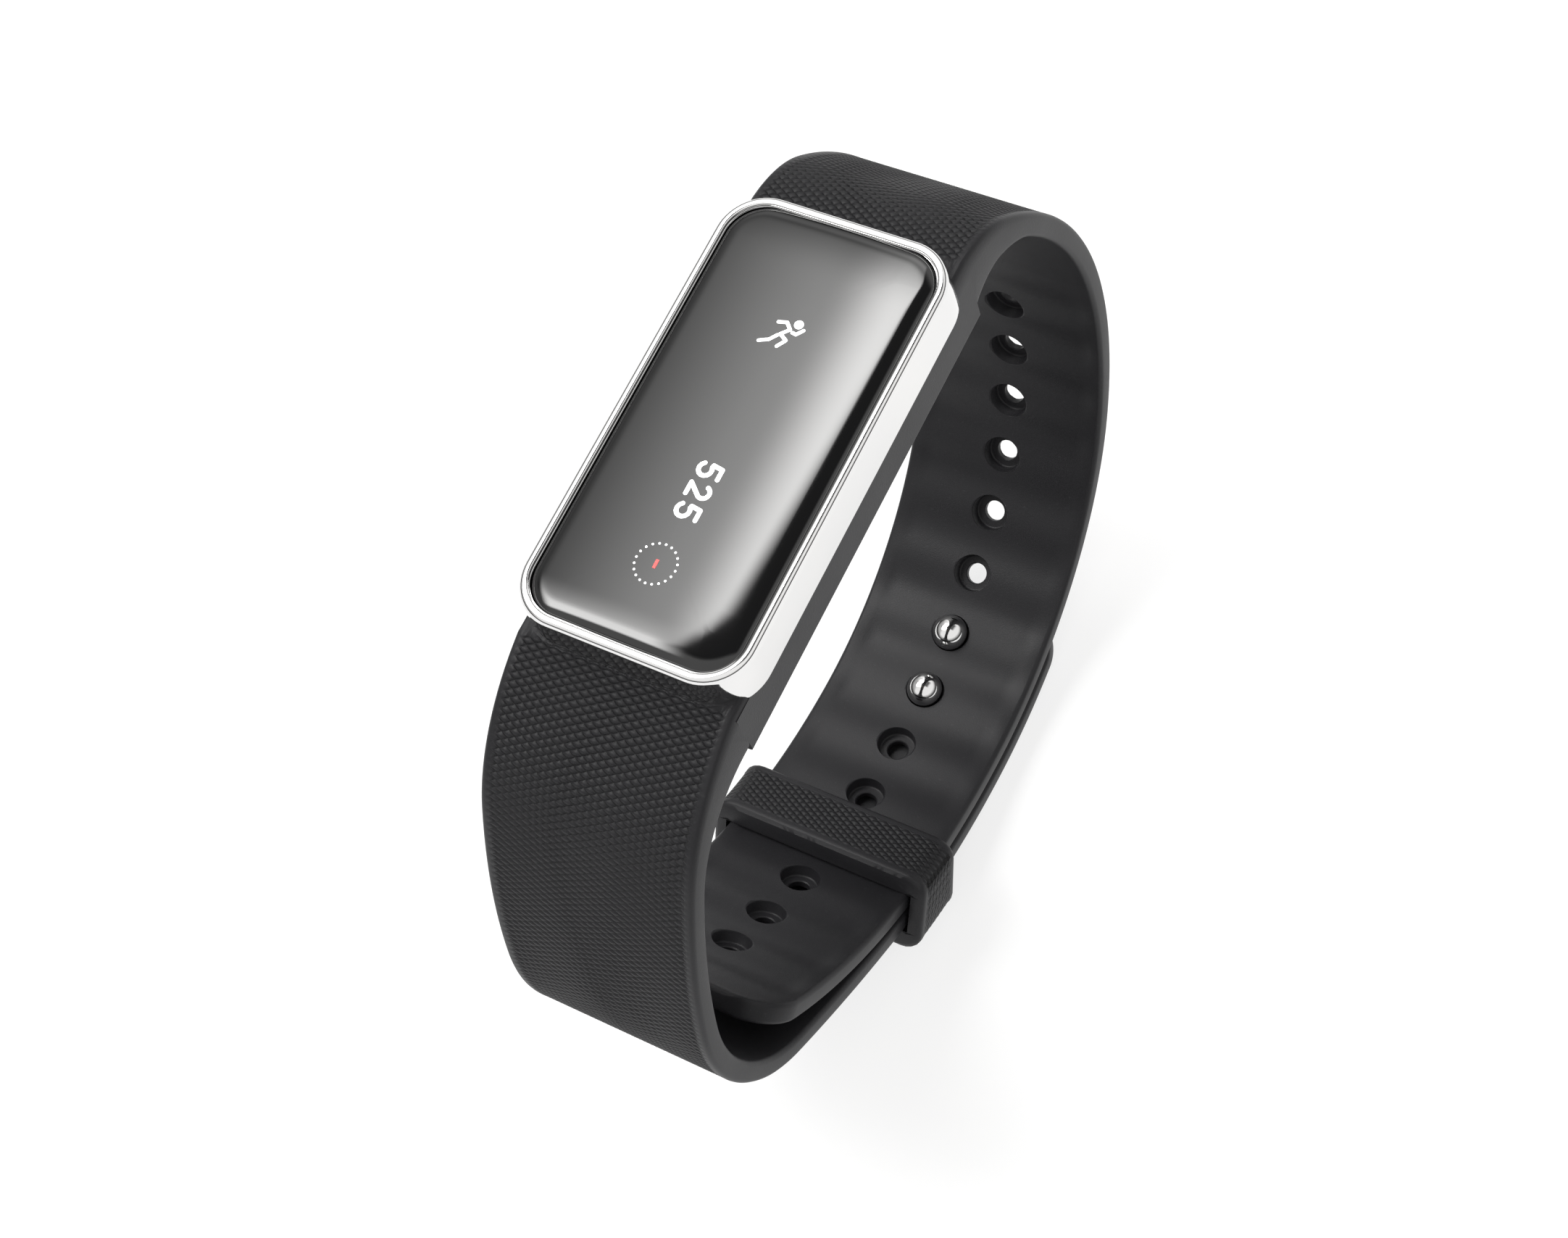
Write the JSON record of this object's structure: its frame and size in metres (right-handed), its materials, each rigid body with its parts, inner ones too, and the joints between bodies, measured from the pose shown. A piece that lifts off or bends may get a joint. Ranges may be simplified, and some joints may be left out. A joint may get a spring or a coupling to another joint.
{
  "type": "fitness tracker band",
  "caption": "Closed fitness tracker band: chrome-framed display module in a textured rubber strap, ball-stud clasp and keeper loop.",
  "frame": {"origin": "middle of the wrist opening, on the module's centre line", "axes": "+Z the way the display faces, +X along the wrist, +Y from the module's middle towards the strap with the holes"},
  "size_m": [0.02, 0.0682, 0.0632],
  "materials": {
    "band_rubber": "matt, moulded diamond texture outside",
    "bezel_chrome": "polished",
    "window_glass": "high gloss, domed",
    "lit_white": "lit",
    "lit_red": "lit",
    "stud_steel": "polished steel",
    "plate_steel": "stamped",
    "black_plastic": "fine sparked",
    "foam_tape": "matt",
    "clear_film": "clear film",
    "panel": "gloss",
    "flex": "amber film",
    "board": "solder mask",
    "chip": "epoxy",
    "gold": "gold plated",
    "cell_foil": "foil pouch",
    "wire": "silicone",
    "can_steel": "drawn",
    "tungsten": "sintered",
    "seal": "silicone",
    "screw_steel": "plain"
  },
  "bodies": {
    "module": {"band_cradle": "band_rubber", "hole_strap": "band_rubber", "gripped_hole_rims": "band_rubber", "stud_strap": "band_rubber", "bezel": "bezel_chrome", "cover_glass": "window_glass", "glass_adhesive": "foam_tape", "touch_sensor": "clear_film", "display_panel": "panel", "display_flex": "flex", "runner_icon": "lit_white", "step_digits": "lit_white", "dial_dots": "lit_white", "dial_hand": "lit_red", "mid_frame": "black_plastic", "circuit_board": "board", "board_chips": "chip", "board_screws": "screw_steel", "battery": "cell_foil", "battery_leads": "wire", "motor_can": "can_steel", "motor_cap": "can_steel", "motor_shaft": "screw_steel", "antenna": "gold", "rear_cover": "black_plastic", "rear_gasket": "seal", "cover_screws": "screw_steel", "charging_contacts": "gold"},
    "peel_end": {"stud_strap_end": "band_rubber", "clasp_plate": "plate_steel", "clasp_studs": "stud_steel"},
    "keeper": {"strap_keeper": "band_rubber"},
    "tail": {"hole_strap_tail": "band_rubber"},
    "rotor": {"motor_weight": "tungsten"}
  },
  "joints": [
    {"name": "clasp_peel", "type": "hinge", "parent": "module", "child": "peel_end", "pos_m": [0, 0.00046, -0.02864], "axis": [-1, 0, 0], "range_deg": [0, 70], "stiffness_Nm_per_rad": 0.01, "deforming": ["gripped_hole_rims"]},
    {"name": "keeper_slide", "type": "hinge", "parent": "module", "child": "keeper", "pos_m": [0, 0.00714, 0.01206], "axis": [1, 0, 0], "range_deg": [0, 8.8]},
    {"name": "tail_flex", "type": "hinge", "parent": "module", "child": "tail", "pos_m": [0, -0.01275, -0.01938], "axis": [-1, 0, 0], "range_deg": [0, 35], "stiffness_Nm_per_rad": 0.01},
    {"name": "motor_spin", "type": "hinge", "parent": "module", "child": "rotor", "pos_m": [0, 0.0092, 0.0275], "axis": [0, 0, 1], "continuous": true}
  ]
}
